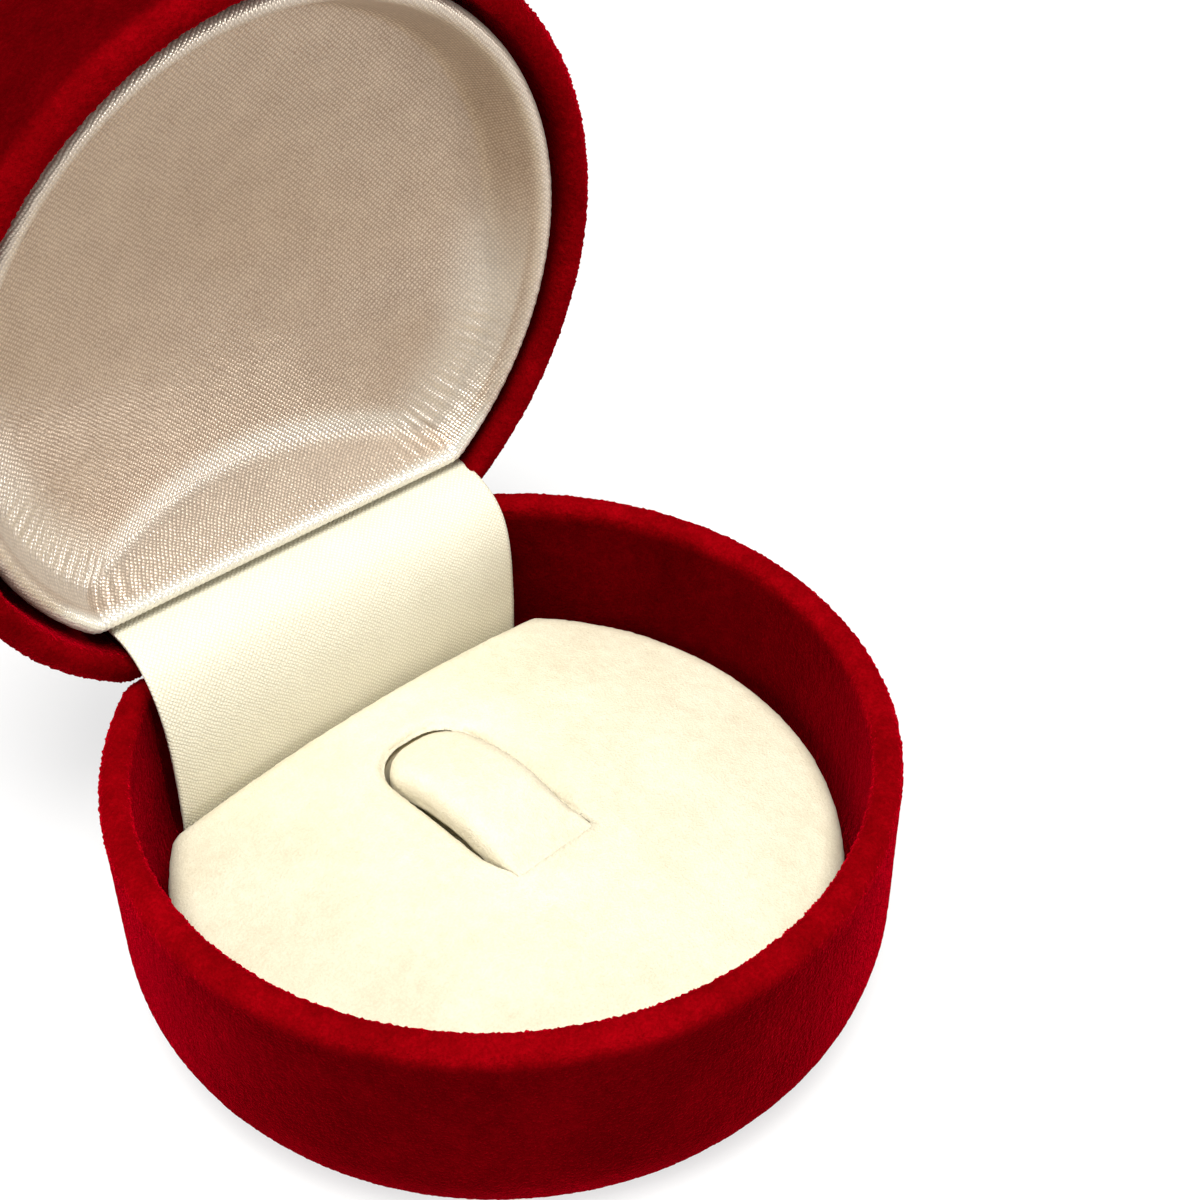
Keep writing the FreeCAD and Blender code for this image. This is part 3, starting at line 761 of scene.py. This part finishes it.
# painted highlight: paler above the crease and up the lower sides, where the glint light catches the gloss
fx, fy, fz = face_dish.T
fr = np.hypot(fx, fy)
crease = (0.75 + (17.15 - fy) / 0.50) - (fz - HEM_Z)
painted_highlight = 0.42 * np.exp(-((crease - 1.5) / 1.5) ** 2) * sstep(24.0, 21.0, fr)
painted_highlight = np.maximum(painted_highlight, 0.34 * sstep(17.5, 21.5, fr) * sstep(-5.0, 7.0, fy) * (crease > 0.9))
painted_highlight[:n_h] = 0
set_mask(liner_o, "hem", np.maximum(np.r_[np.repeat(hem_highlight_rows, n_), 0.0] * along, painted_highlight))
mod = liner_o.modifiers.new("cloth_thickness", "SOLIDIFY"); mod.thickness = 0.00022; mod.offset = -1
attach(liner_o, "lid"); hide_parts("liner_satin")

# card tray behind the cloth: two skins of the same dish, joined round the edge
start = 10                                   # row of the hem where the tray begins
T0 = face_dish[start * n_:].copy()
NT = len(T0)
front, rear = T0.copy(), T0.copy()
front[:, 2] += 0.45
rear[:, 2] += 1.25
lip = slice(0, 3 * n_)
front[lip, 2] = np.maximum(front[lip, 2], HEM_Z + 0.7)
rear[lip, 2] = np.maximum(rear[lip, 2], HEM_Z + 1.5)
FT = [tuple(i_ - start * n_ for i_ in f) for f in [tuple(reversed(f)) for f in F] if min(f) >= start * n_]
FB = [tuple(NT + i_ for i_ in reversed(f)) for f in FT]
FE = [(j, NT + j, NT + (j + 1) % n_, (j + 1) % n_) for j in range(n_)]
tray_o = make("liner_tray", lid_open(twist(np.vstack([front, rear]))), [tuple(reversed(f)) for f in FT + FB] + FE, M_CARD, smooth=False)
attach(tray_o, "lid"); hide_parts("liner_board")


# ------------------------------------------------------------------ gusset: stiff satin strip over the hinge
prof = np.array([(17.75, 6.0), (17.55, 9.0), (17.42, 12.0), (17.42, 15.0), (17.55, 17.6), (17.85, 19.6), (18.40, 21.2),
                 (19.20, 22.45), (20.30, 23.35), (21.60, 23.85), (23.00, 24.03), (25.40, 24.20)])
seg = np.r_[0, np.cumsum(np.hypot(*np.diff(prof, axis=0).T))]
tt = np.linspace(0, seg[-1], 90)


def smooth_line(tt):
    y = np.interp(tt, seg, prof[:, 0]); z = np.interp(tt, seg, prof[:, 1])
    for _ in range(30):
        y[1:-1] = (y[:-2] + 2 * y[1:-1] + y[2:]) / 4
        z[1:-1] = (z[:-2] + 2 * z[1:-1] + z[2:]) / 4
    return y, z


gy, gz = smooth_line(tt)
GW = 16.2
xs = np.linspace(-GW, GW, 110)
P, UVg = [], []
for i, t in enumerate(tt):
    k = sstep(0.45 * seg[-1], 0.85 * seg[-1], t)      # how far it belongs to the lid
    for x in xs:
        dz = -x * math.tan(TW) * k
        P.append((x, gy[i], gz[i] + dz))
        UVg.append((x, t))
P = np.array(P)
nx = len(xs)
F = [(i * nx + j, i * nx + j + 1, (i + 1) * nx + j + 1, (i + 1) * nx + j) for i in range(len(tt) - 1) for j in range(nx - 1)]
N = normals(P, F)
if N[nx * 45 + 50][1] > 0:
    F = [tuple(reversed(f)) for f in F]
gus = make("gusset_satin_cloth", P, F, M_GUSSET, uv=UVg)
mod = gus.modifiers.new("cloth_thickness", "SOLIDIFY"); mod.thickness = 0.0003; mod.offset = -1
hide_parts("gusset_satin")
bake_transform(gus)

# ------------------------------------------------------------------ hard parts kept from the frame
for n, m in (("hinge_base_leaf", M_STEEL), ("hinge_lid_leaf", M_STEEL), ("hinge_pin", M_STEEL), ("base_rivets", M_STEEL),
             ("lid_rivets", M_STEEL), ("hinge_spring", M_BLUE), ("pad_board", M_CARD)):
    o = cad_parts[n]
    o.data.materials.clear()
    o.data.materials.append(m)

# ------------------------------------------------------------------ floor, light, camera
me = bpy.data.meshes.new("floor")
q = 1.5
me.from_pydata([(-q, -q, 0), (q, -q, 0), (q, q, 0), (-q, q, 0)], [], [(0, 1, 2, 3)])
floor = bpy.data.objects.new("floor", me)
bpy.context.scene.collection.objects.link(floor)
fm, nt, b = new_mat("floor_pale")
b.inputs["Base Color"].default_value = (0.30, 0.30, 0.30, 1)
b.inputs["Roughness"].default_value = 0.9
b.inputs["Emission Color"].default_value = (1, 1, 1, 1)
b.inputs["Emission Strength"].default_value = 0.68
me.materials.append(fm)

w = bpy.data.worlds.new("studio")
bpy.context.scene.world = w
w.use_nodes = True
w.node_tree.nodes["Background"].inputs[0].default_value = (1, 1, 1, 1)
w.node_tree.nodes["Background"].inputs[1].default_value = 0.12


def area_light(name, loc, target, size, power, col=(1, 1, 1)):
    l = bpy.data.lights.new(name, "AREA")
    l.shape = "SQUARE"
    l.size = size
    l.energy = power
    l.color = col
    o = bpy.data.objects.new(name, l)
    bpy.context.scene.collection.objects.link(o)
    o.location = loc
    d = Vector(target) - Vector(loc)
    o.rotation_euler = d.to_track_quat("-Z", "Y").to_euler()
    return o


area_light("key", (-0.16, -0.20, 0.75), (0, 0, 0.02), 0.36, 9.6, (1.0, 0.985, 0.95))
area_light("side", (-0.60, 0.10, 0.30), (0, 0, 0.03), 0.25, 1.8)
area_light("glint", (0.45, -0.58, 0.150), (0, 0.02, 0.04), 0.20, 2.3)

cam = bpy.data.cameras.new("camera")
co = bpy.data.objects.new("camera", cam)
bpy.context.scene.collection.objects.link(co)
cam.sensor_width = 36.0
cam.lens = 2153.045 / 1200 * 36
cam.clip_start = 0.005
Rm = ((0.72749, -0.68609, -0.00586), (0.44984, 0.4705, 0.75913), (-0.51807, -0.55489, 0.65092))
m = Matrix.Identity(4)
for i in range(3):
    for j in range(3):
        m[j][i] = Rm[i][j]
m.translation = Vector((-0.068724, -0.083729, 0.125095))
co.matrix_world = m
bpy.context.scene.camera = co
bpy.context.scene.view_settings.view_transform = "Standard"
